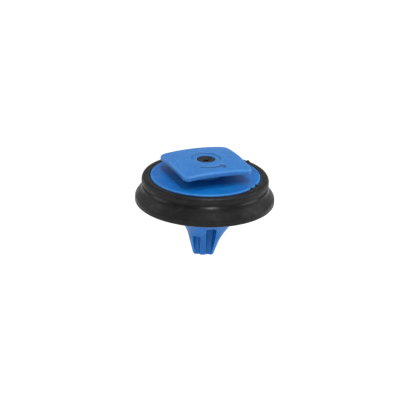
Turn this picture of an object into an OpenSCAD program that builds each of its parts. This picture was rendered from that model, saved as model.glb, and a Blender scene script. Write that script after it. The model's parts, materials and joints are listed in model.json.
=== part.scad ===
// Plug-in drip emitter with a quarter-turn flow knob, a floating silicone
// diaphragm and a rubber clamp ring. Millimetres, +Z up.
// The origin is on the emitter's axis, in the plane of the ring's sealing face.
// Water enters along the stem's flutes, passes the inlet screen and the
// labyrinth, and leaves through the orifice in the middle of the knob.

/* [Seal ring] */
// Outer diameter of the rubber skirt
ring_d = 22; // [21.5:0.1:24]
// Height of the ring over the sealing face
ring_h = 4.4; // [4.3:0.05:4.8]
// Radius of the small shelf at the top of the skirt
shelf_r = 9.95; // [9.85:0.05:10]
// Height of that shelf
shelf_z = 2.8; // [2.6:0.05:2.9]
// Radius at the bottom of the groove between shelf and lip
groove_r = 9.8; // [9.7:0.02:9.82]
// Height at which the skirt is at its full diameter
skirt_band_z = 0.8; // [0.6:0.05:1.2]
// Radius of the rounded lip
lip_r = 10.05; // [10:0.05:10.2]

/* [Cover] */
// Radius of the visible blue disc
cover_r = 8.7; // [8.5:0.05:8.8]
// How far the disc stands proud of the ring
cover_proud = 0.15; // [0.1:0.05:0.3]
// Thickness of the disc
cover_t = 1.15; // [1:0.05:1.3]

/* [Knob] */
// Half width of the plate, at the middle of a side
knob_half_w = 5.85; // [5.6:0.05:6.4]
// Radius of the plate's slightly bulging sides
knob_side_r = 120; // [40:5:200]
// Radius of the plate's corners
knob_corner_r = 1.1; // [0.8:0.05:1.6]
// Thickness of the plate
knob_t = 0.8; // [0.7:0.05:0.95]
// Height of the plate's crown over the cover
knob_crown = 2.9; // [2.7:0.05:3.1]
// Radius of the crowned top
crown_r = 41; // [36:1:60]
// How far the crown's highest point lies off the axis
crown_shift = 1.05; // [0:0.05:1.5]
// Direction of that point, from the plate's own axis
crown_shift_a = -85; // [-180:5:180]
// Angle of the shut plate about the axis
knob_turn = 22.5; // [0:0.5:45]
// Travel from shut to fully open
knob_travel = 90; // [60:5:90]

/* [Stem] */
// Radius of the round spigot above the stem
spigot_r = 5.0; // [4.8:0.05:5.2]
// Length of the spigot below the sealing face
spigot_l = 2.2; // [2:0.1:2.5]
// Height of the stem's tip, below the sealing face
stem_l = 8.8; // [8:0.1:10]
// Reach of the stem's left side at the tip
left_tip_r = 1.55; // [1.4:0.05:1.8]
// Reach of the stem's right side at the tip
right_tip_r = 1.65; // [1.5:0.05:1.9]
// Thickness of the blade between the front and back flutes
blade_t = 1.4; // [1.2:0.05:1.6]
// Width of the front and back ribs
rib_w = 1.0; // [0.8:0.05:1.2]
// Reach of the front and back ribs at the tip
rib_tip_r = 0.95; // [0.9:0.05:1.3]
// Length of the flutes left of the ribs
short_flute_l = 3.6; // [3.2:0.1:4]
// Length of the flutes right of the ribs
long_flute_l = 5.4; // [5:0.1:5.6]

/* [Hidden] */
$fn = 96;
blue = [0.13, 0.42, 0.80];
black = [0.09, 0.09, 0.10];
silicone = [0.86, 0.86, 0.82];
grey = [0.55, 0.57, 0.60];
eps = 0.01;

// Clamped flanges of base and cover, inside the ring's channel
flange_r = 9.3;
split_z = 1.9;                    // where base and cover meet
base_flange_z = 1.1;
cover_flange_z = 2.8;
base_r = 8.5;
base_z = 0.3;                     // underside of the base, just above the sealing face

// Main chamber
chamber_r = 7.4;
floor_z = 1.0;
cover_z = ring_h + cover_proud;   // top face of the disc
ceiling_z = cover_z - cover_t;

// Spigot chamber
hub_floor_z = -spigot_l + 0.7;
hub_chamber_r = 3.8;
screen_r = 4.1;
screen_t = 0.5;
port_r = 0.6;
port_x = 1.25;
port_y = 1.9;

// Labyrinth plate, with the diaphragm's pocket in its upper side
plate_r = 7.3;
plate_top_z = 2.3;
pocket_z = 1.5;
pocket_r = 4.75;
throat_r = 3.9;
channel_in_r = 5.2;
channel_out_r = 6.8;
channel_h = 0.6;
teeth = 30;
tooth_l = 1.05;
tooth_t = 0.3;

// Diaphragm
diaphragm_r = 4.6;
diaphragm_t = 0.45;

// Valve at the foot of the knob's neck
boss_r = 3.4;
seat_z = plate_top_z;
washer_z = seat_z + 0.3;
washer_t = 0.3;
neck_r = 2.45;
neck_gap = 0.05;                  // running clearance on radius
neck_z = washer_z + washer_t + 0.02;
neck_floor_t = 0.3;
passage_r = 1.3;
collar_r = 2.6;
window_in_r = 0.45;
window_out_r = 1.2;
window_half_a = 35;
bead_r = 2.7;
bead_z = 3.0;
bead_h = 0.2;
o_ring_t = 0.56;
o_ring_z = 3.68;
o_groove_r = neck_r + neck_gap - 0.03 - o_ring_t;
o_groove_h = 0.6;
lug_r = 3.1;
lug_z = cover_z - 0.3;
lug_half_a = 7;
lug_a = 0;                        // where the stop lug sits, from the plate's own axis
stop_slack_a = 1;

// Outlet insert
insert_r = 1.48;
insert_z = 5.6;
recess_r = 2.33;
recess_depth = 0.2;
orifice_r = 0.4;
crown_z = cover_z + knob_crown;
plate_z = crown_z - knob_t;       // underside of the plate, on the axis
recess_z = crown_z - recess_depth;

// Sides of the stem: a straight taper plus a flare towards the root
left_taper = 0.27;
left_flare = 1.0;
left_flare_h = 2.9;
right_taper = 0.35;
right_flare = 1.3;
right_flare_h = 4.3;
flat_set_back = 0.15;             // how far the flat front stays inside the left side's reach
left_flute_x = 1.65;              // outer wall of a short flute
right_flute_tip_x = 1.5;          // outer wall of a long flute, at the tip
right_flute_top_x = 2.0;          // and at its top

// Points of an arc about (cx, cy)
function arc(cx, cy, r, a0, a1, n) =
    [for (i = [0:n]) let (a = a0 + (a1 - a0) * i / n) [cx + r * cos(a), cy + r * sin(a)]];

// Reach of one side of the stem at height z
function reach(z, tip_r, taper, flare, flare_h) =
    let (t = max(0, (z + spigot_l + flare_h) / flare_h))
    min(spigot_r - 0.1, tip_r + taper * (z + stem_l) + flare * pow(t, 1.5));

// Height of the i-th of n + 1 levels of the stem
function stem_level(i, n) =
    let (low = -stem_l + 0.25)
    low + (-spigot_l + eps - low) * i / n;

function left_reach(z, tip_r) = reach(z, tip_r, left_taper, left_flare, left_flare_h);

function right_reach(z) = reach(z, right_tip_r, right_taper, right_flare, right_flare_h);

// Flat sector between two radii and two angles
module sector(r0, r1, a0, a1, h) {
    linear_extrude(h)
        polygon(concat(arc(0, 0, r1, a0, a1, 12), arc(0, 0, r0, a1, a0, 12)));
}

module tube(r1, r0, z, h) {
    translate([0, 0, z]) difference() {
        cylinder(r = r1, h = h);
        translate([0, 0, -eps]) cylinder(r = r0, h = h + 2 * eps);
    }
}

// The plate's outline: four bulging sides and four round corners, all tangent
module plate_outline() {
    a = knob_side_r - knob_half_w;
    b = knob_side_r - knob_corner_r;
    c = (-a + sqrt(2 * b * b - a * a)) / 2;
    side_a = asin(c / b);
    polygon([for (k = [0:3])
        let (turn = 90 * k)
        each [for (p = concat(
            arc(-a, 0, knob_side_r, -side_a, side_a, 8),
            arc(c, c, knob_corner_r, side_a, 90 - side_a, 6)))
            [p[0] * cos(turn) - p[1] * sin(turn), p[0] * sin(turn) + p[1] * cos(turn)]]]);
}

// Two opposite valve windows centred on angle a
module windows(a, z, h) {
    for (k = [0, 180])
        translate([0, 0, z])
            sector(window_in_r, window_out_r, a + k - window_half_a, a + k + window_half_a, h);
}

// Rubber clamp ring: lip, groove, shelf and flared skirt outside, flange channel inside
module seal_ring() {
    skirt_r = ring_d / 2;
    foot = 0.25;
    lip_round = 0.85;
    lip_inner_round = 0.28;
    flare_n = 10;
    color(black) rotate_extrude() polygon(concat(
        [[base_r, 0]],
        arc(skirt_r - foot, foot, foot, -90, 0, 4),
        [for (i = [0:flare_n])
            let (t = i / flare_n)
            [shelf_r + (skirt_r - shelf_r) * (0.35 * (1 - t) + 0.65 * pow(cos(90 * t), 1.2)),
             skirt_band_z + (shelf_z - skirt_band_z) * t]],
        [[groove_r, shelf_z + 0.15], [groove_r, shelf_z + 0.3], [lip_r, shelf_z + 0.45]],
        arc(lip_r - lip_round, ring_h - lip_round, lip_round, 0, 90, 8),
        arc(cover_r + lip_inner_round, ring_h - lip_inner_round, lip_inner_round, 90, 180, 4),
        [[cover_r, cover_flange_z], [flange_r, cover_flange_z],
         [flange_r, base_flange_z], [base_r, base_flange_z]]));
}

// Solid of revolution through one side's reaches
module stem_round(reaches, tip_r) {
    tip_round = 0.25;
    n = len(reaches) - 1;
    rotate_extrude() polygon(concat(
        [[0, -spigot_l + eps], [0, -stem_l]],
        arc(tip_r - tip_round, -stem_l + tip_round, tip_round, -90, -15, 3),
        [for (i = [1:n]) [reaches[i], stem_level(i, n)]]));
}

// Upright slab between y = -reach and y = +reach, from x0 to x1, its foot drawn in
module stem_slab(reaches, x0, x1) {
    n = len(reaches) - 1;
    draw_in = 0.2;
    translate([x0, 0, 0]) rotate([90, 0, 90]) linear_extrude(x1 - x0)
        polygon(concat(
            [[draw_in - reaches[0], -stem_l - draw_in], [reaches[0] - draw_in, -stem_l - draw_in]],
            [for (i = [0:n]) [reaches[i], stem_level(i, n)]],
            [for (i = [n:-1:0]) [-reaches[i], stem_level(i, n)]]));
}

// Solid body of the stem: round on the left, round with flat front and back on the right
module stem_body() {
    n = 14;
    left = [for (i = [0:n]) left_reach(stem_level(i, n), left_tip_r)];
    right = [for (i = [0:n]) right_reach(stem_level(i, n))];
    flat = [for (i = [0:n]) left[i] - flat_set_back];
    seam = 0.2;
    intersection() {
        stem_round(left, left_tip_r);
        translate([-spigot_r, -spigot_r, -stem_l - 1]) cube([spigot_r, 2 * spigot_r, stem_l]);
    }
    intersection() {
        stem_round(right, right_tip_r);
        stem_slab(flat, -seam, spigot_r);
    }
}

// What one face of the stem loses: a long flute, a short flute and the step down to the rib
module stem_cuts() {
    n = 14;
    half = rib_w / 2;
    side = 0.1;
    low_z = -stem_l - 1;
    long_z = -stem_l + long_flute_l;
    short_z = -stem_l + short_flute_l;
    long_round = 0.4;
    short_round = 0.25;
    lip_slope = 1.15;
    rib = [for (i = [0:n]) left_reach(stem_level(i, n), rib_tip_r)];
    translate([0, -blade_t / 2, 0]) rotate([90, 0, 0]) linear_extrude(spigot_r) {
        polygon(concat(
            [[half, low_z], [right_flute_tip_x, low_z]],
            arc(right_flute_top_x - long_round, long_z - long_round, long_round, 0, 90, 4),
            arc(half + long_round, long_z - long_round, long_round, 90, 180, 4)));
        polygon(concat(
            [[-left_flute_x, low_z], [-half, low_z], [-half, short_z]],
            arc(short_round - left_flute_x, short_z - short_round, short_round, 90, 180, 3)));
    }
    difference() {
        rotate([90, 0, 0]) linear_extrude(spigot_r)
            polygon([[-half - side, low_z], [half + side, low_z],
                     [half + side, short_z + lip_slope * (rib_w + side)],
                     [-half - side, short_z - lip_slope * side]]);
        stem_slab(rib, -rib_w, rib_w);
    }
}

// Lower housing: flanged cup, round spigot and fluted stem in one moulding
module base() {
    color(blue) difference() {
        union() {
            difference() {
                union() {
                    translate([0, 0, base_z]) cylinder(r = base_r, h = split_z - base_z);
                    translate([0, 0, base_flange_z]) cylinder(r = flange_r, h = split_z - base_flange_z);
                    translate([0, 0, -spigot_l]) cylinder(r = spigot_r, h = spigot_l + base_z + eps);
                }
                translate([0, 0, floor_z]) cylinder(r = chamber_r, h = ring_h);
                translate([0, 0, floor_z - screen_t]) cylinder(r = screen_r + 0.1, h = ring_h);
                translate([0, 0, hub_floor_z]) cylinder(r = hub_chamber_r, h = ring_h);
            }
            difference() {
                stem_body();
                for (face = [0, 1])
                    mirror([0, face, 0]) stem_cuts();
            }
        }
        // a port from each long flute into the spigot
        for (side = [-1, 1])
            translate([port_x, side * port_y, -stem_l + long_flute_l - port_r])
                cylinder(r = port_r, h = stem_l - long_flute_l, $fn = 32);
    }
}

// Upper housing: the visible disc, its flange and the knob's bearing boss
module cover() {
    rib_n = 6;
    rib_w = 0.8;
    edge = 0.25;
    color(blue) difference() {
        union() {
            difference() {
                union() {
                    translate([0, 0, split_z]) cylinder(r = flange_r, h = cover_flange_z - split_z);
                    translate([0, 0, cover_flange_z]) cylinder(r = cover_r, h = cover_z - edge - cover_flange_z);
                    translate([0, 0, cover_z - edge]) cylinder(r1 = cover_r, r2 = cover_r - edge, h = edge);
                }
                translate([0, 0, split_z - eps]) cylinder(r = chamber_r, h = ceiling_z - split_z + eps);
            }
            translate([0, 0, seat_z]) cylinder(r = boss_r, h = ceiling_z - seat_z + eps);
            for (i = [0:rib_n - 1])
                rotate(i * 360 / rib_n + 30)
                    translate([6.2, -rib_w / 2, plate_top_z])
                        cube([chamber_r - 6.2 + 0.2, rib_w, ceiling_z - plate_top_z + eps]);
        }
        translate([0, 0, washer_z]) cylinder(r = neck_r + neck_gap, h = cover_z);
        translate([0, 0, bead_z - 0.04]) cylinder(r = bead_r + 0.08, h = bead_h + 0.1);
        windows(knob_turn + knob_travel, seat_z - 1, 2);
        rotate(knob_turn) translate([0, 0, lug_z - 0.05])
            sector(neck_r - 0.2, lug_r + 0.1,
                   lug_a - lug_half_a - stop_slack_a,
                   lug_a + knob_travel + lug_half_a + stop_slack_a, 1);
    }
}

// Flow knob: crowned plate on a hollow neck that turns in the cover's boss
module knob() {
    color(blue) rotate(knob_turn) difference() {
        union() {
            intersection() {
                translate([0, 0, cover_z]) linear_extrude(knob_crown + 1) plate_outline();
                translate([crown_shift * cos(crown_shift_a), crown_shift * sin(crown_shift_a),
                           crown_z - sqrt(crown_r * crown_r - crown_shift * crown_shift)]) difference() {
                    sphere(r = crown_r);
                    sphere(r = crown_r - knob_t);
                }
            }
            translate([0, 0, neck_z]) cylinder(r = neck_r, h = plate_z - neck_z + eps);
            translate([0, 0, cover_z + 0.1]) cylinder(r = collar_r, h = plate_z - cover_z);
            translate([0, 0, bead_z]) cylinder(r = bead_r, h = bead_h);
            translate([0, 0, lug_z])
                sector(neck_r - 0.2, lug_r, lug_a - lug_half_a, lug_a + lug_half_a, 0.6);
        }
        translate([0, 0, neck_z + neck_floor_t]) cylinder(r = passage_r, h = crown_z);
        translate([0, 0, insert_z]) cylinder(r = insert_r, h = crown_z);
        translate([0, 0, recess_z]) cylinder(r = recess_r, h = crown_z);
        tube(neck_r + 1, o_groove_r, o_ring_z - o_groove_h / 2, o_groove_h);
        windows(0, neck_z - 1, 2);
    }
}

// Rubber plug pressed into the knob, with the drip orifice through it
module outlet_insert() {
    dish_r = 0.8;
    dish_depth = 0.3;
    top_z = recess_z - 0.05;
    color(black) difference() {
        translate([0, 0, insert_z]) cylinder(r = insert_r, h = top_z - insert_z);
        translate([0, 0, insert_z - 1]) cylinder(r = orifice_r, h = crown_z, $fn = 32);
        translate([0, 0, top_z - dish_depth]) cylinder(r1 = orifice_r, r2 = dish_r, h = dish_depth + eps);
    }
}

// O-ring in the neck's groove
module neck_o_ring() {
    color(black) translate([0, 0, o_ring_z]) rotate_extrude()
        translate([o_groove_r + o_ring_t / 2, 0]) circle(r = o_ring_t / 2, $fn = 32);
}

// Soft washer under the neck, with the same windows as the boss
module valve_washer() {
    color(silicone) difference() {
        translate([0, 0, washer_z]) cylinder(r = neck_r, h = washer_t);
        windows(knob_turn + knob_travel, washer_z - 1, 2);
    }
}

// Floating diaphragm that throttles the seat as pressure rises
module diaphragm() {
    color(silicone) translate([0, 0, pocket_z]) cylinder(r = diaphragm_r, h = diaphragm_t);
}

// Labyrinth plate: toothed channel below, diaphragm pocket above
module labyrinth_plate() {
    dam_half_a = 8;
    step = (360 - 2 * dam_half_a) / (teeth + 1);
    color(grey) difference() {
        tube(plate_r, throat_r, floor_z, plate_top_z - floor_z);
        translate([0, 0, pocket_z]) cylinder(r = pocket_r, h = plate_top_z);
        difference() {
            tube(channel_out_r, channel_in_r, floor_z - 1, channel_h + 1);
            translate([0, 0, floor_z - 2])
                sector(channel_in_r - 1, channel_out_r + 1, -dam_half_a, dam_half_a, 3);
            for (i = [1:teeth])
                rotate(dam_half_a + i * step)
                    translate([i % 2 == 0 ? channel_in_r - 0.2 : channel_out_r + 0.2 - tooth_l,
                               -tooth_t / 2, floor_z - 2])
                        cube([tooth_l, tooth_t, 3]);
        }
        // way in from the throat, and way up at the far end
        rotate(dam_half_a + step / 2) translate([throat_r - 0.5, -0.3, floor_z - 1])
            cube([channel_in_r - throat_r + 1, 0.6, 1 + channel_h]);
        rotate(-dam_half_a - step / 2) translate([6, 0, floor_z - 1])
            cylinder(r = 0.45, h = 3, $fn = 32);
    }
}

// Inlet screen: a thin disc with a grid of square meshes
module inlet_screen() {
    pitch = 0.85;
    mesh = 0.5;
    n = 4;
    color(grey) difference() {
        translate([0, 0, floor_z - screen_t]) cylinder(r = screen_r, h = screen_t);
        for (i = [-n:n], j = [-n:n])
            if (norm([i, j]) * pitch < hub_chamber_r - 0.4)
                translate([i * pitch - mesh / 2, j * pitch - mesh / 2, floor_z - 2])
                    cube([mesh, mesh, 3]);
    }
}

base();
seal_ring();
cover();
knob();
outlet_insert();
neck_o_ring();
valve_washer();
diaphragm();
labyrinth_plate();
inlet_screen();
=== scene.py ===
import json
import math

import bmesh
import bpy
from mathutils import Matrix, Vector, noise


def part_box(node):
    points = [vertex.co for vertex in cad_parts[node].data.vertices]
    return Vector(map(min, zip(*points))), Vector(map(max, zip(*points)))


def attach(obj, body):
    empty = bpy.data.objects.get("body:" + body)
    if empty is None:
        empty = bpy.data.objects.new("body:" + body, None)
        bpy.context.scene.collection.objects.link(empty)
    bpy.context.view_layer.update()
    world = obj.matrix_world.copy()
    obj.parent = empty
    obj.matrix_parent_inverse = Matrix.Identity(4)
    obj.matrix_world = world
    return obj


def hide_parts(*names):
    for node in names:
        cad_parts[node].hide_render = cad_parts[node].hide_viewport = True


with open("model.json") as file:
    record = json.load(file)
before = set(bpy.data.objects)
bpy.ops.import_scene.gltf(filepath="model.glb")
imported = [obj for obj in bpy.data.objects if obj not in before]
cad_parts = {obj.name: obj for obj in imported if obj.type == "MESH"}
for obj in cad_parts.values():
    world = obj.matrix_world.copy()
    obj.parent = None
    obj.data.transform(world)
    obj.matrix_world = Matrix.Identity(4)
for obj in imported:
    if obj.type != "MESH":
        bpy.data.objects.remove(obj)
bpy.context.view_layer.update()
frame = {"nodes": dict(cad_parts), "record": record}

MM = 0.001
TAU = 2 * math.pi

# ---------------------------------------------------------------- frame sizes, in mm


def box_mm(node):
    """A CAD node's lowest and highest corners, in mm."""
    low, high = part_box(node)
    return Vector(low) / MM, Vector(high) / MM


RING_HIGH = box_mm("seal_ring")[1]
BASE_LOW, BASE_HIGH = box_mm("base")
INSERT_LOW, INSERT_HIGH = box_mm("outlet_insert")
O_RING_LOW, O_RING_HIGH = box_mm("neck_o_ring")

SKIRT_R = RING_HIGH.x
RING_TOP = RING_HIGH.z
COVER_TOP = box_mm("cover")[1].z
FLANGE_R = BASE_HIGH.x
SPLIT_Z = BASE_HIGH.z
TIP_Z = BASE_LOW.z
INSERT_R = INSERT_HIGH.x
INSERT_SINK = 0.25
CROWN_Z = INSERT_HIGH.z + INSERT_SINK     # the crown's height on the axis if the recess were filled
NECK_Z = box_mm("knob")[0].z
WASHER_Z = box_mm("valve_washer")[0].z

COVER_R = 8.7
BASE_R = 8.5
CHAMBER_R = 7.4
SPIGOT_R = frame["record"]["mounts"][0]["dims"]["r_mm"]
SPIGOT_Z = -2.2
FLANGE_TOP_Z = 2.8
FLANGE_FOOT_Z = 1.1
BASE_Z = 0.3
PLATE_TURN = math.radians(22.5)
PLATE_DEG = math.degrees(PLATE_TURN)

# the quarter-turn valve's windows, and the lug and slot that stop the knob; angles in degrees
KNOB_TURN_DEG = 90
WINDOW_R0, WINDOW_R1, WINDOW_HALF_DEG = 0.45, 1.2, 35
LUG_R0, LUG_R1, LUG_HALF_DEG = 2.2, 3.1, 7
LUG_Z0, LUG_Z1 = 4.25, 4.85
SLOT_R0, SLOT_R1, SLOT_PLAY_DEG = 2.0, 3.2, 1
SLOT_Z0, SLOT_Z1 = 4.2, 6
COVER_WINDOW_Z0, COVER_WINDOW_Z1 = 1, 4
KNOB_WINDOW_Z0, KNOB_WINDOW_Z1 = 2, 3.21

# ---------------------------------------------------------------- mesh kit

SHARP_DEG = 38                     # a steeper bend between two faces stays a sharp corner


def smoothstep(low, high, x):
    """0 below low, 1 above high and a smooth rise between."""
    t = min(1.0, max(0.0, (x - low) / (high - low)))
    return t * t * (3 - 2 * t)


def rounded(corners, closed=True, steps=6):
    """A polyline through (a, b, radius) corners, each rounded by an arc of its radius."""
    out = []
    count = len(corners)
    for i, (a, b, radius) in enumerate(corners):
        here = Vector((a, b))
        at_end = not closed and i in (0, count - 1)
        if radius <= 0 or at_end:
            out.append((a, b))
            continue
        before = Vector(corners[i - 1][:2]) - here
        after = Vector(corners[(i + 1) % count][:2]) - here
        half = before.angle(after) / 2
        reach = radius / math.tan(half)
        start = here + before.normalized() * reach
        end = here + after.normalized() * reach
        middle = here + (before.normalized() + after.normalized()).normalized() * radius / math.sin(half)
        first, last = start - middle, end - middle
        sweep = first.angle_signed(last)
        for k in range(steps + 1):
            turn = Matrix.Rotation(-sweep * k / steps, 2)
            out.append(tuple(middle + turn @ first))
    return out


def skin(name, rings, loop=False):
    """One closed mesh through rings of equal length. A ring of one point is a pole."""
    mesh = bpy.data.meshes.new(name)
    verts, starts = [], []
    for ring in rings:
        starts.append(len(verts))
        verts.extend(Vector(p) * MM for p in ring)
    faces = []
    pairs = list(zip(range(len(rings) - 1), range(1, len(rings))))
    if loop:
        pairs.append((len(rings) - 1, 0))
    for i, j in pairs:
        a, b = starts[i], starts[j]
        n, m = len(rings[i]), len(rings[j])
        for k in range(max(n, m)):
            k2 = (k + 1) % max(n, m)
            if n == 1:
                faces.append((a, b + k, b + k2))
            elif m == 1:
                faces.append((a + k, b, a + k2))
            else:
                faces.append((a + k, b + k, b + k2, a + k2))
    mesh.from_pydata(verts, [], faces)
    return finish_mesh(name, mesh)


def finish_mesh(name, mesh):
    """Outward normals, smooth shading with sharp corners kept, and an object for the mesh."""
    bm = bmesh.new()
    bm.from_mesh(mesh)
    bmesh.ops.remove_doubles(bm, verts=bm.verts, dist=1e-8)
    bmesh.ops.recalc_face_normals(bm, faces=bm.faces)
    bm.to_mesh(mesh)
    bm.free()
    mesh.shade_smooth()
    mesh.set_sharp_from_angle(angle=math.radians(SHARP_DEG))
    piece = bpy.data.objects.new(name, mesh)
    bpy.context.scene.collection.objects.link(piece)
    return piece


def circle(r, z, n):
    """A ring of n points at height z, or one point when r is 0."""
    if r <= 0:
        return [(0, 0, z)]
    return [(r * math.cos(TAU * k / n), r * math.sin(TAU * k / n), z) for k in range(n)]


def lathe(name, profile, n, loop=True, shift=None):
    """A solid of revolution. shift moves a point of (r, z) at an angle, for flash and waviness."""
    rings = []
    for r, z in profile:
        ring = circle(r, z, n)
        if shift and r > 0:
            ring = [shift(p, TAU * k / n) for k, p in enumerate(ring)]
        rings.append(ring)
    return skin(name, rings, loop)


def prism(name, outline, z0, z1):
    """An upright prism, used as a cutter."""
    middle = centre_of(outline)
    return skin(name, [
        [(*middle, z0)],
        [(x, y, z0) for x, y in outline],
        [(x, y, z1) for x, y in outline],
        [(*middle, z1)],
    ])


def centre_of(outline):
    """The mean of an outline's points."""
    n = len(outline)
    return sum(p[0] for p in outline) / n, sum(p[1] for p in outline) / n


def sector(r0, r1, a0, a1, steps=16):
    """A flat sector's outline, angles in degrees."""
    angles = [math.radians(a0 + (a1 - a0) * k / steps) for k in range(steps + 1)]
    outer = [(r1 * math.cos(a), r1 * math.sin(a)) for a in angles]
    inner = [(r0 * math.cos(a), r0 * math.sin(a)) for a in reversed(angles)]
    return outer + inner


def combine(piece, tool, operation):
    """Applies an exact boolean and removes the tool."""
    change = piece.modifiers.new("cut", "BOOLEAN")
    change.operation = operation
    change.solver = "EXACT"
    change.object = tool
    graph = bpy.context.evaluated_depsgraph_get()
    made = bpy.data.meshes.new_from_object(piece.evaluated_get(graph))
    piece.modifiers.clear()
    old = piece.data
    piece.data = made
    bpy.data.meshes.remove(old)
    bpy.data.objects.remove(tool)


def cut_windows(piece, middle, z0, z1):
    """Cuts two opposite valve windows, the first centred on an angle in degrees."""
    for side in (0, 180):
        from_a, to_a = middle + side - WINDOW_HALF_DEG, middle + side + WINDOW_HALF_DEG
        combine(piece, prism("window_cut", sector(WINDOW_R0, WINDOW_R1, from_a, to_a), z0, z1), "DIFFERENCE")


def mark_edges(piece, rubbed):
    """Stores how worn each vertex is: up to 1 on edges that stand out, 1 where rubbed(r, z), else 0."""
    blunt, keen, least_gap = 0.9, 4.0, 0.02
    bm = bmesh.new()
    bm.from_mesh(piece.data)
    values = [0.0] * len(bm.verts)
    for edge in bm.edges:
        if len(edge.link_faces) != 2:
            continue
        first, second = edge.link_faces
        apart = (first.calc_center_median() - second.calc_center_median()).length / MM
        bend = edge.calc_face_angle_signed(0.0) / max(apart, least_gap)
        worn = smoothstep(blunt, keen, bend)
        for vert in edge.verts:
            values[vert.index] = max(values[vert.index], worn)
    for vert in bm.verts:
        x, y, z = vert.co / MM
        if rubbed(math.hypot(x, y), z):
            values[vert.index] = 1.0
    bm.free()
    piece.data.attributes.new("edge", "FLOAT", "POINT").data.foreach_set("value", values)


def nowhere(r, z):
    """The default for rubbed: no place is."""
    return False


def finished(piece, body, node, material, rubbed=nowhere):
    """Ties a piece to its CAD body, node and material, with area-weighted normals."""
    weighted = piece.modifiers.new("normals", "WEIGHTED_NORMAL")
    weighted.keep_sharp = True
    mark_edges(piece, rubbed)
    piece.data.materials.clear()
    piece.data.materials.append(material)
    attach(piece, body)
    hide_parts(node)


# ---------------------------------------------------------------- materials


class Nodes:
    """A short way to build a shader tree around one Principled shader."""

    def __init__(self, name):
        self.material = bpy.data.materials.new(name)
        self.material.use_nodes = True
        self.tree = self.material.node_tree
        self.shader = self.tree.nodes["Principled BSDF"]
        coords = self.tree.nodes.new("ShaderNodeTexCoord")
        self.place = coords.outputs["Object"]

    def noise(self, size_mm, detail=3.0, rough=0.5):
        """Noise whose features are about size_mm across."""
        node = self.tree.nodes.new("ShaderNodeTexNoise")
        node.inputs["Scale"].default_value = 1 / (size_mm * MM)
        node.inputs["Detail"].default_value = detail
        node.inputs["Roughness"].default_value = rough
        self.tree.links.new(self.place, node.inputs["Vector"])
        return node.outputs["Fac"]

    def spread(self, value, low, high, to_low, to_high):
        """Maps low..high to to_low..to_high, smooth and clamped."""
        node = self.tree.nodes.new("ShaderNodeMapRange")
        node.interpolation_type = "SMOOTHSTEP"
        ends = {"From Min": low, "From Max": high, "To Min": to_low, "To Max": to_high}
        for name, number in ends.items():
            node.inputs[name].default_value = number
        self.tree.links.new(value, node.inputs["Value"])
        return node.outputs["Result"]

    def mix(self, factor, a, b):
        """Mixes two colours; each is a colour or a socket."""
        node = self.tree.nodes.new("ShaderNodeMix")
        node.data_type = "RGBA"
        for socket, value in ((node.inputs["Factor"], factor), (node.inputs[6], a), (node.inputs[7], b)):
            if isinstance(value, bpy.types.NodeSocket):
                self.tree.links.new(value, socket)
            elif isinstance(value, (tuple, list)):
                socket.default_value = (*value, 1)
            else:
                socket.default_value = value
        return node.outputs[2]

    def blend(self, factor, value, target):
        """Moves a value towards a target number by a factor."""
        node = self.tree.nodes.new("ShaderNodeMix")
        self.tree.links.new(factor, node.inputs[0])
        self.tree.links.new(value, node.inputs[2])
        node.inputs[3].default_value = target
        return node.outputs[0]

    def attribute(self, name):
        """A number stored on the mesh's vertices."""
        node = self.tree.nodes.new("ShaderNodeAttribute")
        node.attribute_name = name
        return node.outputs["Fac"]

    def bump(self, height, strength, depth_mm, under=None):
        """Bump from a height, on top of another bump if there is one; strength is a number or a socket."""
        node = self.tree.nodes.new("ShaderNodeBump")
        if isinstance(strength, bpy.types.NodeSocket):
            self.tree.links.new(strength, node.inputs["Strength"])
        else:
            node.inputs["Strength"].default_value = strength
        node.inputs["Distance"].default_value = depth_mm * MM
        self.tree.links.new(height, node.inputs["Height"])
        if under:
            self.tree.links.new(under, node.inputs["Normal"])
        return node.outputs["Normal"]

    def feed(self, name, socket):
        """Links a socket to an input of the Principled shader."""
        self.tree.links.new(socket, self.shader.inputs[name])


def moulded_plastic(name, colour, dark, pale, rough, shine=0.4):
    """Satin polypropylene: soft colour drift, pale rubbed edges, fine mould grain and dust, and painted
    shade in engraved and recessed hollows.
    """
    m = Nodes(name)
    drift = m.spread(m.noise(2.5, 2.0), 0.35, 0.65, 0.0, 1.0)
    body = m.mix(drift, dark, colour)
    worn = m.spread(m.attribute("edge"), 0.1, 1.0, 0.0, 0.45)
    body = m.mix(worn, body, pale)
    specks = m.spread(m.noise(0.12, 4.0, 0.6), 0.66, 0.74, 0.0, 0.4)
    body = m.mix(specks, body, pale)
    # Painted shade: the colour darkens towards a deep blue in the engraved arrow and tick and in the recess
    # corner round the insert, where shade falls.
    painted_shade_colour = tuple(0.4 * c for c in dark)
    sunk = m.spread(m.attribute("mark"), 0.1, 0.9, 0.0, 0.85)
    m.feed("Base Color", m.mix(sunk, body, painted_shade_colour))
    m.feed("Roughness", m.spread(m.noise(0.6, 4.0, 0.65), 0.3, 0.7, rough - 0.07, rough + 0.09))
    grain = m.bump(m.noise(0.035, 2.0), 0.35, 0.004)
    waves = m.bump(m.noise(1.1, 2.0), 0.5, 0.02, grain)
    m.feed("Normal", waves)
    m.shader.inputs["IOR"].default_value = 1.49
    m.shader.inputs["Specular IOR Level"].default_value = shine
    m.shader.inputs["Subsurface Weight"].default_value = 0.5
    m.shader.inputs["Subsurface Radius"].default_value = (0.15, 0.5, 1.0)
    m.shader.inputs["Subsurface Scale"].default_value = 0.9 * MM
    return m.material


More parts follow.
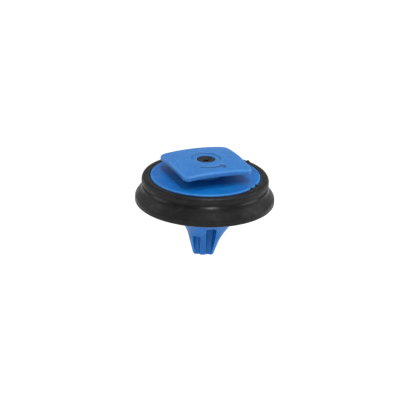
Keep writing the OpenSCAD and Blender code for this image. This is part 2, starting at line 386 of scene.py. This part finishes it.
def moulded_rubber(name, colour, dusty, rough, grain_mm=0.05, glow=0.0):
    """Moulded rubber: fine matt grain, dust that settles in patches and a few smooth rubbed spots."""
    m = Nodes(name)
    dust = m.spread(m.noise(1.3, 5.0, 0.7), 0.46, 0.72, 0.0, 0.55)
    motes = m.spread(m.noise(0.09, 3.0, 0.6), 0.64, 0.74, 0.0, 0.7)
    worn = m.spread(m.attribute("edge"), 0.1, 1.0, 0.0, 0.8)
    body = m.mix(dust, colour, dusty)
    m.feed("Base Color", m.mix(motes, body, dusty))
    matt = m.spread(m.noise(0.8, 5.0, 0.7), 0.3, 0.7, rough - 0.08, rough + 0.12)
    m.feed("Roughness", m.blend(worn, matt, 0.24))
    rough_skin = m.spread(m.attribute("edge"), 0.1, 1.0, 0.5, 0.05)
    grain = m.bump(m.noise(grain_mm, 3.0), rough_skin, 0.008)
    m.feed("Normal", m.bump(m.noise(0.7, 3.0), rough_skin, 0.03, grain))
    m.shader.inputs["IOR"].default_value = 1.5
    m.shader.inputs["Specular IOR Level"].default_value = 0.22
    m.shader.inputs["Subsurface Weight"].default_value = glow
    m.shader.inputs["Subsurface Scale"].default_value = 0.6 * MM
    return m.material


# Painted light: the knob and the housing are one blue plastic. The knob's copy is painted lighter for its
# lit top, and the housing's copy is painted darker for the shade the plate casts on the disc.
BLUE = moulded_plastic(
    "blue_pp",
    colour=(0.002, 0.132, 0.430), dark=(0.001, 0.112, 0.395), pale=(0.05, 0.25, 0.58),
    rough=0.42, shine=0.28,
)
KNOB_BLUE_PAINTED_LIGHTER = moulded_plastic(
    "knob_pp",
    colour=(0.018, 0.160, 0.465), dark=(0.012, 0.143, 0.430), pale=(0.08, 0.27, 0.60),
    rough=0.46,
)
RUBBER = moulded_rubber(
    "black_rubber",
    colour=(0.0040, 0.0038, 0.0048), dusty=(0.017, 0.016, 0.017),
    rough=0.44,
)
INSERT_RUBBER = moulded_rubber(
    "insert_rubber",
    colour=(0.008, 0.009, 0.013), dusty=(0.024, 0.022, 0.024),
    rough=0.5, grain_mm=0.04,
)
SILICONE = moulded_rubber(
    "silicone",
    colour=(0.62, 0.62, 0.58), dusty=(0.75, 0.75, 0.70),
    rough=0.35, glow=0.4,
)
GREY = moulded_plastic(
    "grey_pp",
    colour=(0.25, 0.27, 0.30), dark=(0.21, 0.23, 0.26), pale=(0.5, 0.5, 0.5),
    rough=0.42,
)

# ---------------------------------------------------------------- rubber clamp ring

RING_N = 512
WAVE_H = 0.018
FLASH_STRETCH = 0.8                # below 1, flash spreads further across the profile than along the rim
# flash left by the mould: angle in degrees, profile point (r, z), height, width and inward push in mm
FLASH = (
    (45, 9.45, RING_TOP, 0.30, 0.36, 0.0),
    (-33, COVER_R + 0.1, RING_TOP, 0.20, 0.44, 0.34),
    (-23, COVER_R + 0.1, RING_TOP, 0.20, 0.52, 0.38),
    (152, COVER_R + 0.1, RING_TOP, 0.08, 0.24, 0.14),
)


def ring_shift(p, angle):
    """Flash nibs, and the slight waviness of a rubber moulding."""
    r, z = math.hypot(p[0], p[1]), p[2]
    wave = WAVE_H * noise.noise(Vector((math.cos(angle), math.sin(angle), 0.2 * z)) * 3.0)
    lift, push = 0.0, 0.0
    for degrees, at_r, at_z, height, width, inward in FLASH:
        turn = (angle - math.radians(degrees) + math.pi) % TAU - math.pi
        away = math.hypot(turn * r, FLASH_STRETCH * (r - at_r), FLASH_STRETCH * (z - at_z))
        share = math.exp(-((away / (0.5 * width)) ** 2))
        lift += height * share
        push += inward * share
    outer = smoothstep(COVER_R + 0.1, COVER_R + 0.5, r)
    grow = 1 + (wave * outer - push) / r
    return (p[0] * grow, p[1] * grow, z + lift)


def ring_profile():
    """Foot, flared skirt, shelf, groove, lip and the channel that grips the two flanges."""
    foot_h = 0.98
    waist_r, waist_z = 10.17, 2.25
    lip_r, shelf_r, groove_r, shelf_z = 10.04, 9.95, 9.80, FLANGE_TOP_Z
    seam_z = 3.82
    seam = 0.025
    return rounded([
        (BASE_R, 0, 0.06),
        (SKIRT_R - 0.01, 0, 0.28),
        (SKIRT_R - 0.01, foot_h, 0.7),
        (waist_r, waist_z, 0.9),
        (shelf_r + 0.07, shelf_z - 0.05, 0.20),
        (groove_r - 0.02, shelf_z + 0.22, 0.05),
        (groove_r - 0.02, shelf_z + 0.40, 0.06),
        (lip_r, shelf_z + 0.54, 0.07),
        (lip_r, seam_z - seam, 0.01),
        (lip_r - seam, seam_z, 0.01),
        (lip_r - 0.05, seam_z + seam, 0.01),
        (lip_r - 0.05, RING_TOP, 0.55),
        (COVER_R + 0.01, RING_TOP - 0.01, 0.26),
        (COVER_R + 0.01, FLANGE_TOP_Z, 0),
        (FLANGE_R, FLANGE_TOP_Z, 0),
        (FLANGE_R, FLANGE_FOOT_Z, 0),
        (BASE_R, FLANGE_FOOT_Z, 0.06),
    ], steps=8)


ring = lathe("clamp_ring", ring_profile(), RING_N, True, ring_shift)


def on_shelf(r, z):
    """True on the shelf and the foot of the groove above it, which are smooth."""
    return 9.7 < r < 10.1 and FLANGE_TOP_Z - 0.15 < z < FLANGE_TOP_Z + 0.3


finished(ring, "housing", "seal_ring", RUBBER, on_shelf)

# ---------------------------------------------------------------- cover

COVER_N = 384
BORE_R = 2.5


def cover_profile():
    """The disc with its rounded rim, the flange, the chamber roof and the knob's bearing boss."""
    bead_r, bead_z0, bead_z1 = BORE_R + 0.28, 2.96, 3.26
    ceiling_z = COVER_TOP - 1.15
    boss_r, seat_z = 3.4, 2.3
    return rounded([
        (0, WASHER_Z, 0),
        (BORE_R, WASHER_Z, 0.05),
        (BORE_R, bead_z0, 0),
        (bead_r, bead_z0, 0.03),
        (bead_r, bead_z1, 0.03),
        (BORE_R, bead_z1, 0),
        (BORE_R, COVER_TOP, 0.12),
        (COVER_R - 0.02, COVER_TOP, 0.30),
        (COVER_R - 0.02, FLANGE_TOP_Z, 0.05),
        (FLANGE_R, FLANGE_TOP_Z, 0.08),
        (FLANGE_R, SPLIT_Z, 0.05),
        (CHAMBER_R, SPLIT_Z, 0.08),
        (CHAMBER_R, ceiling_z, 0.3),
        (boss_r, ceiling_z, 0.2),
        (boss_r, seat_z, 0.05),
        (0, seat_z, 0),
    ], closed=False)


def stop_slot():
    """The outline of the slot that the knob's lug travels in."""
    play = LUG_HALF_DEG + SLOT_PLAY_DEG
    return sector(SLOT_R0, SLOT_R1, PLATE_DEG - play, PLATE_DEG + KNOB_TURN_DEG + play, 32)


cover = lathe("cover_disc", cover_profile(), COVER_N, False)
combine(cover, prism("stop_cut", stop_slot(), SLOT_Z0, SLOT_Z1), "DIFFERENCE")
cut_windows(cover, PLATE_DEG + KNOB_TURN_DEG, COVER_WINDOW_Z0, COVER_WINDOW_Z1)
finished(cover, "housing", "cover", BLUE)

# ---------------------------------------------------------------- knob

KNOB_N = 480
SIDE_R, HALF_W, CORNER_R = 120, 5.85, 1.1
CROWN_R = 41
PLATE_T = 0.8
COLLAR_R = 2.6
COLLAR_FOOT_R = COLLAR_R + 0.3
APEX_SHIFT, APEX_A = 1.05, math.radians(-85) + PLATE_TURN
APEX_X, APEX_Y = APEX_SHIFT * math.cos(APEX_A), APEX_SHIFT * math.sin(APEX_A)
CROWN_CENTRE_Z = CROWN_Z - math.sqrt(CROWN_R ** 2 - APEX_SHIFT ** 2)
RECESS_R, RECESS_Z, RECESS_LIP = 2.33, CROWN_Z - 0.2, 0.06
PASSAGE_R = 1.3
TOP_FILLET, LOW_FILLET, EDGE_DRAFT = 0.30, 0.12, 0.03


def plate_reach():
    """The plate's outline as a radius for each of KNOB_N angles, tangent arcs as in the CAD."""
    a, b = SIDE_R - HALF_W, SIDE_R - CORNER_R
    c = (-a + math.sqrt(2 * b * b - a * a)) / 2
    limit = math.atan2(SIDE_R * c / b, -a + SIDE_R * math.sqrt(1 - (c / b) ** 2))
    out = []
    for k in range(KNOB_N):
        angle = TAU * k / KNOB_N - PLATE_TURN
        local = (angle + math.pi / 4) % (math.pi / 2) - math.pi / 4
        if abs(local) <= limit:
            out.append(-a * math.cos(local) + math.sqrt(SIDE_R ** 2 - (a * math.sin(local)) ** 2))
        else:
            off = math.pi / 4 - abs(local)
            far = c * math.sqrt(2)
            out.append(far * math.cos(off) + math.sqrt(CORNER_R ** 2 - (far * math.sin(off)) ** 2))
    return out


PLATE = [
    (r * math.cos(TAU * k / KNOB_N), r * math.sin(TAU * k / KNOB_N)) for k, r in enumerate(plate_reach())
]


def plate_normals():
    """The outline's outward unit normals."""
    out = []
    for k in range(KNOB_N):
        before, after = PLATE[k - 1], PLATE[(k + 1) % KNOB_N]
        along = Vector((after[0] - before[0], after[1] - before[1])).normalized()
        out.append((along.y, -along.x))
    return out


NORMALS = plate_normals()


def crown(x, y):
    """Height of the crowned top."""
    return CROWN_CENTRE_Z + math.sqrt(CROWN_R ** 2 - (x - APEX_X) ** 2 - (y - APEX_Y) ** 2)


def under(x, y):
    """Height of the plate's underside, concentric with the crown."""
    inner = CROWN_R - PLATE_T
    return CROWN_CENTRE_Z + math.sqrt(inner ** 2 - (x - APEX_X) ** 2 - (y - APEX_Y) ** 2)


ARROW_R, ARROW_W = 3.9, 0.52
ARROW_FROM, ARROW_TO = math.radians(-103), math.radians(-52)
HEAD_L, HEAD_W = 1.15, 1.0
TICK_A, TICK_R = math.radians(20), 3.85
HALF_TICK_L, HALF_TICK_W, TICK_SHARE = 0.45, 0.13, 0.5
MARK_DEPTH, MARK_SOFT = 0.12, 0.05


def arrow_mask(x, y):
    """1 inside the engraved turn arrow, 0 outside, with soft sides."""
    r = math.hypot(x, y)
    a = math.atan2(y, x)
    along = (a - ARROW_TO) * ARROW_R
    across = abs(r - ARROW_R)
    tail = (ARROW_FROM - a) * ARROW_R
    shaft = min(ARROW_W / 2 - across, -along + 0.1, -tail)
    head = min((HEAD_W * (1 - along / HEAD_L) - across) * 0.8, along) if along < HEAD_L else -1
    return smoothstep(-MARK_SOFT, MARK_SOFT, max(shaft, head))


def tick_mask(x, y):
    """A short engraved index tick on the plate's right."""
    along = x * math.cos(TICK_A) + y * math.sin(TICK_A)
    across = -x * math.sin(TICK_A) + y * math.cos(TICK_A)
    inside = min(HALF_TICK_L - abs(along - TICK_R), HALF_TICK_W - abs(across))
    return smoothstep(-MARK_SOFT, MARK_SOFT, inside)


def mark_at(x, y):
    """How deep the arrow and the fainter tick are engraved, from 0 to 1."""
    return max(arrow_mask(x, y), TICK_SHARE * tick_mask(x, y))


def recess_shade_at(x, y):
    """Painted shade in the corner of the recess round the insert: a dark ring at the recess wall, where
    shade falls.
    """
    share, near, far = 0.5, 0.06, 0.13
    return share * (1 - smoothstep(near, far, abs(math.hypot(x, y) - RECESS_R)))


def top_ring(points):
    """Lays points on the crown, sunk where it is engraved."""
    return [(x, y, crown(x, y) - MARK_DEPTH * mark_at(x, y)) for x, y in points]


def inset(d):
    """The plate's outline moved inwards by d."""
    return [(x - d * nx, y - d * ny) for (x, y), (nx, ny) in zip(PLATE, NORMALS)]


def circle_xy(r):
    """A circle with a point for each point of the plate's outline."""
    return [(r * math.cos(TAU * k / KNOB_N), r * math.sin(TAU * k / KNOB_N)) for k in range(KNOB_N)]


def blend_xy(a, b, w):
    """Points a share w of the way from a to b."""
    return [((1 - w) * p[0] + w * q[0], (1 - w) * p[1] + w * q[1]) for p, q in zip(a, b)]


def recess_rings():
    """The insert's bore and the recess, up to a rounded lip on the crown."""
    start_z, bore_z = 5.0, 5.6
    bore_r = INSERT_R + 0.02
    profile = rounded([
        (PASSAGE_R, start_z, 0),
        (PASSAGE_R, bore_z, 0.02),
        (bore_r, bore_z, 0.02),
        (bore_r, RECESS_Z, 0.08),
        (RECESS_R, RECESS_Z, 0.04),
        (RECESS_R, RECESS_Z + 0.05, 0),
    ], closed=False)
    rings = [circle(r, z, KNOB_N) for r, z in profile]
    for k in range(0, 5):
        a = math.pi / 2 * k / 4
        drop = RECESS_LIP * (1 - math.sin(a))
        ring = circle_xy(RECESS_R + RECESS_LIP * (1 - math.cos(a)))
        rings.append([(x, y, crown(x, y) - drop) for x, y in ring])
    return rings


def top_rings():
    """Circles over the crown, then steps that blend from the last circle to the plate's outline."""
    rings = []
    step, last_r = 0.075, 5.35
    r = RECESS_R + RECESS_LIP + step
    while r < last_r:
        rings.append(top_ring(circle_xy(r)))
        r += step
    last, edge_in = circle_xy(r - step), inset(TOP_FILLET)
    for k in range(1, 7):
        rings.append(top_ring(blend_xy(last, edge_in, k / 6)))
    return rings


def edge_rings():
    """Round the plate's edge, then in under the plate to the collar."""
    rings = []
    for k in range(1, 9):
        a = math.pi / 2 * k / 8
        drop = TOP_FILLET * (1 - math.cos(a))
        rings.append([(x, y, crown(x, y) - drop) for x, y in inset(TOP_FILLET * (1 - math.sin(a)))])
    for k in range(0, 6):
        a = math.pi / 2 * k / 5
        rise = LOW_FILLET * (1 - math.sin(a))
        ring = inset(EDGE_DRAFT + LOW_FILLET * (1 - math.cos(a)))
        rings.append([(x, y, under(x, y) + rise) for x, y in ring])
    flat_inset = 0.8
    under_in = inset(flat_inset)
    collar = circle_xy(COLLAR_FOOT_R)
    for k in range(0, 8):
        rings.append([(x, y, under(x, y)) for x, y in blend_xy(under_in, collar, k / 7)])
    return rings


def neck_rings():
    """Down the collar and the neck, past the O-ring's groove and the snap bead, to the closed end."""
    neck_r = 2.45
    groove_r, half_groove = -O_RING_LOW.x - 0.56, 0.3
    groove_z = (O_RING_LOW.z + O_RING_HIGH.z) / 2
    bead_r, bead_z0, bead_z1 = 2.7, 3.0, 3.2
    collar_z = COVER_TOP + 0.1
    neck = [
        (COLLAR_FOOT_R, under(COLLAR_R, 0), 0),
        (COLLAR_R, under(COLLAR_R, 0), 0.15),
        (COLLAR_R, collar_z, 0.04),
        (neck_r, collar_z, 0.03),
        (neck_r, groove_z + half_groove, 0.04),
        (groove_r, groove_z + half_groove, 0.05),
        (groove_r, groove_z - half_groove, 0.05),
        (neck_r, groove_z - half_groove, 0.04),
        (neck_r, bead_z1, 0.03),
        (bead_r, bead_z1, 0.06),
        (bead_r, bead_z0, 0.06),
        (neck_r, bead_z0, 0.0),
        (neck_r, NECK_Z, 0.04),
        (0, NECK_Z, 0),
    ]
    return [circle(r, z, KNOB_N) for r, z in rounded(neck, closed=False)[1:]]


def knob_rings():
    """The knob as one skin: from its closed passage up, over the plate and back down the neck."""
    floor_z = NECK_Z + 0.3
    passage = [[(0, 0, floor_z)], circle(PASSAGE_R, floor_z, KNOB_N)]
    return passage + recess_rings() + top_rings() + edge_rings() + neck_rings()


knob = skin("flow_knob", knob_rings())
cut_windows(knob, PLATE_DEG, KNOB_WINDOW_Z0, KNOB_WINDOW_Z1)
lug = sector(LUG_R0, LUG_R1, PLATE_DEG - LUG_HALF_DEG, PLATE_DEG + LUG_HALF_DEG)
combine(knob, prism("stop_lug", lug, LUG_Z0, LUG_Z1), "UNION")
# Painted shade for the knob's colour: how much the engraved arrow and tick, and the corner of the recess
# round the insert, are darkened on the top where shade falls in them.
sunk = []
for vert in knob.data.vertices:
    x, y, z = vert.co / MM
    on_top = z > under(x, y) + PLATE_T / 2
    sunk.append(max(mark_at(x, y), recess_shade_at(x, y)) if on_top else 0.0)
knob.data.attributes.new("mark", "FLOAT", "POINT").data.foreach_set("value", sunk)
finished(knob, "knob", "knob", KNOB_BLUE_PAINTED_LIGHTER)

# ---------------------------------------------------------------- outlet insert

INSERT_N = 192
ORIFICE_R = 0.4


def insert_profile():
    """A plug with a pin hole that opens into a shallow dish."""
    top = INSERT_HIGH.z
    side = INSERT_R - 0.05
    dish_z = top - 0.06
    return rounded([
        (ORIFICE_R, INSERT_LOW.z, 0.05),
        (side, INSERT_LOW.z, 0.08),
        (side, top, 0.16),
        (1.12, top, 0.06),
        (1.05, dish_z, 0.05),
        (0.78, dish_z, 0.10),
        (ORIFICE_R, top - 0.28, 0.1),
    ])


insert = lathe("drip_insert", insert_profile(), INSERT_N)
finished(insert, "knob", "outlet_insert", INSERT_RUBBER)

# ---------------------------------------------------------------- base with its fluted stem

STEM_L = -TIP_Z
TIP_ROUND = 0.25
HALF_RIB = 0.5
HALF_BLADE = 0.7
LEFT_WALL_X = -1.65
# the long flute's outer wall: its x 1 mm below the tip, and how far it leans out over a rise
RIGHT_WALL_X, WALL_LEAN, WALL_RISE = 1.5, 0.5, 6.0
SHORT_TOP_Z, LONG_TOP_Z = TIP_Z + 3.6, TIP_Z + 5.4
SHORT_CORNER, LONG_CORNER = 0.25, 0.4
LIP_SLOPE = 1.15
FRONT_SET_BACK = 0.08              # how much thinner the stem is than its left side is wide
SQUARENESS = 2.6                   # above 2, the right side is fuller than an ellipse
SOFT = 0.08                        # half width of a rounded edge on the stem
SOFT_WALL = 0.32                   # half width of the sloping outer wall of a flute
# reach at the tip, taper, flare and flare height; the flare grows with a power of the height
FLARE_POWER = 1.5
LEFT_SIDE = (1.55, 0.27, 1.0, 2.9)
RIGHT_SIDE = (1.65, 0.35, 1.3, 4.3)
RIB = (0.95, 0.27, 1.0, 2.9)


def reach(z, side):
    """How far a side of the stem stands out at height z."""
    tip_r, taper, flare, flare_h = side
    t = max(0.0, (z - SPIGOT_Z + flare_h) / flare_h)
    return min(SPIGOT_R - 0.12, tip_r + taper * (z + STEM_L) + flare * t ** FLARE_POWER)


def tip_cut(z):
    """How far the stem draws in as it rounds off at the tip."""
    up = z + STEM_L
    if up >= TIP_ROUND:
        return 0.0
    return TIP_ROUND - math.sqrt(max(0.0, TIP_ROUND ** 2 - (TIP_ROUND - up) ** 2))


def right_wall_x(z):
    """Where the long flute's outer wall stands at height z."""
    return RIGHT_WALL_X + WALL_LEAN * (z + STEM_L + 1) / WALL_RISE


def flute(x, z, rib_x, wall_x, top, corner):
    """1 inside a flute that is open at the tip, 0 outside: steep at the rib, sloping at its outer wall."""
    out = 1 if wall_x > rib_x else -1
    dx = max(corner - out * (x - rib_x), out * (x - wall_x) + corner)
    dz = z - top + corner
    away = math.hypot(max(dx, 0.0), max(dz, 0.0)) + min(max(dx, dz), 0.0) - corner
    slope = 1 - smoothstep(-SOFT_WALL, SOFT_WALL, out * (x - wall_x) + 0.5 * SOFT_WALL)
    return min(slope, 1 - smoothstep(-SOFT, SOFT, away))


def depth(x, z):
    """Half thickness of the stem at x and z, with its flutes and its set-back rib."""
    left, right = reach(z, LEFT_SIDE), reach(z, RIGHT_SIDE)
    front = left - FRONT_SET_BACK
    if x < 0:
        whole = front * math.sqrt(max(0.0, 1 - (x / left) ** 2))
    else:
        whole = front * max(0.0, 1 - (x / right) ** SQUARENESS) ** (1 / SQUARENESS)
    lip_z = SHORT_TOP_Z + LIP_SLOPE * (x + HALF_RIB)
    on_rib = 1 - smoothstep(-SOFT, SOFT, z - lip_z)
    on_rib *= 1 - smoothstep(HALF_RIB + 0.05, HALF_RIB + 0.12, abs(x))
    y = whole + (min(whole, reach(z, RIB)) - whole) * on_rib
    cut = max(
        flute(x, z, HALF_RIB, right_wall_x(z), LONG_TOP_Z, LONG_CORNER),
        flute(x, z, -HALF_RIB, LEFT_WALL_X, SHORT_TOP_Z, SHORT_CORNER),
    )
    y += (min(y, HALF_BLADE) - y) * cut
    return max(0.0, y - tip_cut(z))


def even(a, b, count):
    """Even steps from a towards b, without b itself."""
    return [a + (b - a) * k / count for k in range(count)]


def eased(a, b, count):
    """Steps from a that crowd together towards b, where the body turns away, without b itself."""
    return [a + (b - a) * math.sin(math.pi / 2 * k / count) for k in range(count)]


def stations(z):
    """Positions across the stem, crowded where a flute's wall stands."""
    cut = tip_cut(z)
    left, right = -reach(z, LEFT_SIDE) + cut, reach(z, RIGHT_SIDE) - cut
    near, past, inside = 0.12, 0.14, 0.44
    wall_l = max(LEFT_WALL_X, left + 0.2)
    wall_r = min(right_wall_x(z), right - 0.2)
    out = [left] + eased(wall_l - past, left, 12)[:0:-1]
    out += even(wall_l - past, wall_l + inside, 14)
    out += even(wall_l + inside, -HALF_RIB - near, 4)
    out += even(-HALF_RIB - near, -HALF_RIB + near, 10)
    out += even(-HALF_RIB + near, HALF_RIB - near, 6)
    out += even(HALF_RIB - near, HALF_RIB + near, 10)
    out += even(HALF_RIB + near, wall_r - inside, 4)
    out += even(wall_r - inside, wall_r + past, 14)
    return out + eased(wall_r + past, right, 14) + [right]


def section(z):
    """The stem's outline at height z: across the front, then back along the rear."""
    xs = stations(z)
    cut = tip_cut(z)
    grow_l = reach(z, LEFT_SIDE) / (reach(z, LEFT_SIDE) - cut)
    grow_r = reach(z, RIGHT_SIDE) / (reach(z, RIGHT_SIDE) - cut)
    ys = [depth(x * (grow_l if x < 0 else grow_r), z) for x in xs]
    ys[0] = ys[-1] = 0.0
    front = [(x, -y) for x, y in zip(xs, ys)]
    back = list(zip(xs, ys))[-2:0:-1]
    return front + back


def stem_levels():
    """Heights of the stem's sections, closer at the tip and where flutes and lip end."""
    levels = [TIP_Z + TIP_ROUND * (1 - math.cos(math.pi / 2 * k / 6)) for k in range(7)]
    fine_from, fine_to = SHORT_TOP_Z - 0.5, LONG_TOP_Z + 0.25
    z = levels[-1] + 0.3
    while z < SPIGOT_Z - 0.1:
        levels.append(z)
        z += 0.05 if fine_from < z < fine_to else 0.3
    return levels + [SPIGOT_Z]


def base_rings():
    """The stem's sections from the tip up, then the spigot and the cup down to the spigot's floor."""
    cup_z = 1.0
    screen_r, screen_z = 4.2, 0.5
    hollow_r, hollow_z = 3.8, SPIGOT_Z + 0.7
    angles = [math.atan2(y, x) for x, y in section(SPIGOT_Z)]
    tip = section(TIP_Z)
    rings = [[(0, 0, TIP_Z)], [(x * 0.5, y * 0.5, TIP_Z) for x, y in tip]]
    for z in stem_levels():
        rings.append([(x, y, z) for x, y in section(z)])
    outside = [
        (SPIGOT_R - 0.1, SPIGOT_Z, 0),
        (SPIGOT_R, SPIGOT_Z, 0.09),
        (SPIGOT_R, BASE_Z, 0.15),
        (BASE_R - 0.02, BASE_Z, 0.12),
        (BASE_R - 0.02, FLANGE_FOOT_Z, 0.05),
        (FLANGE_R, FLANGE_FOOT_Z, 0.08),
        (FLANGE_R, SPLIT_Z, 0.05),
        (CHAMBER_R, SPLIT_Z, 0.08),
        (CHAMBER_R, cup_z, 0.1),
        (screen_r, cup_z, 0.05),
        (screen_r, screen_z, 0.05),
        (hollow_r, screen_z, 0.05),
        (hollow_r, hollow_z, 0.3),
        (0, hollow_z, 0),
    ]
    for r, z in rounded(outside, closed=False):
        rings.append([(r * math.cos(a), r * math.sin(a), z) for a in angles] if r > 0 else [(0, 0, z)])
    return rings


base = skin("plug_base", base_rings())
PORT_X, PORT_Y, PORT_R = 1.25, 1.9, 0.6
for side in (-1, 1):
    port = [(PORT_X + x, side * PORT_Y + y) for x, y, z in circle(PORT_R, 0, 40)]
    combine(base, prism("port_cut", port, LONG_TOP_Z - PORT_R, 0), "DIFFERENCE")
finished(base, "housing", "base", BLUE)

# ---------------------------------------------------------------- CAD nodes that stay

for node, material in (
    ("neck_o_ring", RUBBER),
    ("valve_washer", SILICONE),
    ("diaphragm", SILICONE),
    ("labyrinth_plate", GREY),
    ("inlet_screen", GREY),
):
    piece = frame["nodes"][node]
    piece.data.materials.clear()
    piece.data.materials.append(material)

# ---------------------------------------------------------------- camera

CAMERA_EL = math.radians(22.0)
CAMERA_ROLL = math.radians(1.93)
CAMERA_DISTANCE = 700
FIELD_W = 62.92
LOOK_AT = Vector((-0.72, -1.45, 0.82))


def add_camera():
    """The photo's camera: far away, looking down and slightly rolled."""
    data = bpy.data.cameras.new("camera")
    data.sensor_width = 36
    data.lens = data.sensor_width * CAMERA_DISTANCE / FIELD_W
    data.clip_start, data.clip_end = 0.01, 20
    camera = bpy.data.objects.new("camera", data)
    bpy.context.scene.collection.objects.link(camera)
    right = Vector((1, 0, 0))
    up = Vector((0, math.sin(CAMERA_EL), math.cos(CAMERA_EL)))
    back = right.cross(up)
    rolled_right = right * math.cos(CAMERA_ROLL) + up * math.sin(CAMERA_ROLL)
    rolled_up = up * math.cos(CAMERA_ROLL) - right * math.sin(CAMERA_ROLL)
    turn = Matrix((rolled_right, rolled_up, back)).transposed().to_4x4()
    camera.matrix_world = Matrix.Translation((LOOK_AT + back * CAMERA_DISTANCE) * MM) @ turn
    bpy.context.scene.camera = camera


# ---------------------------------------------------------------- floor and light


def add_floor():
    """White paper well below the object."""
    drop = 40
    half = 2.0
    z = (TIP_Z - drop) * MM
    mesh = bpy.data.meshes.new("floor")
    corners = [(-half, -half, z), (half, -half, z), (half, half, z), (-half, half, z)]
    mesh.from_pydata(corners, [], [(0, 1, 2, 3)])
    floor = bpy.data.objects.new("floor", mesh)
    bpy.context.scene.collection.objects.link(floor)
    material = bpy.data.materials.new("floor_paper")
    material.use_nodes = True
    shader = material.node_tree.nodes["Principled BSDF"]
    shader.inputs["Base Color"].default_value = (0.94, 0.94, 0.94, 1)
    shader.inputs["Roughness"].default_value = 0.9
    shader.inputs["Specular IOR Level"].default_value = 0.2
    mesh.materials.append(material)


def add_softbox(name, place, width, height, power):
    """An area light at a place in metres, aimed at the object."""
    data = bpy.data.lights.new(name, "AREA")
    data.shape = "RECTANGLE"
    data.size, data.size_y = width, height
    data.energy = power
    light = bpy.data.objects.new(name, data)
    bpy.context.scene.collection.objects.link(light)
    light.location = place
    light.rotation_mode = "QUATERNION"
    light.rotation_quaternion = (-Vector(place)).to_track_quat("-Z", "Y")
    light.visible_camera = False


def add_world(brightness):
    """An even white surround."""
    world = bpy.data.worlds.new("studio")
    world.use_nodes = True
    sky = world.node_tree.nodes["Background"]
    sky.inputs["Color"].default_value = (1.0, 1.0, 1.0, 1)
    sky.inputs["Strength"].default_value = brightness
    bpy.context.scene.world = world


WORLD_BRIGHTNESS = 0.5
# name, place in metres, width, height and power in watts
SOFTBOXES = (
    ("top_box", (0.11, 0.0, 0.9), 0.36, 0.36, 3.6),
    ("key_box", (0.15, -0.49, 0.74), 0.14, 0.14, 2.2),
    ("left_box", (-0.9, 0.1, 0.45), 0.5, 0.6, 2.0),
    ("right_box", (0.9, 0.1, 0.45), 0.5, 0.6, 2.8),
    ("front_box", (0.15, -1.0, 0.05), 0.7, 0.7, 2.2),
)

add_camera()
add_floor()
add_world(WORLD_BRIGHTNESS)
for softbox in SOFTBOXES:
    add_softbox(*softbox)
bpy.context.scene.view_settings.view_transform = "Standard"
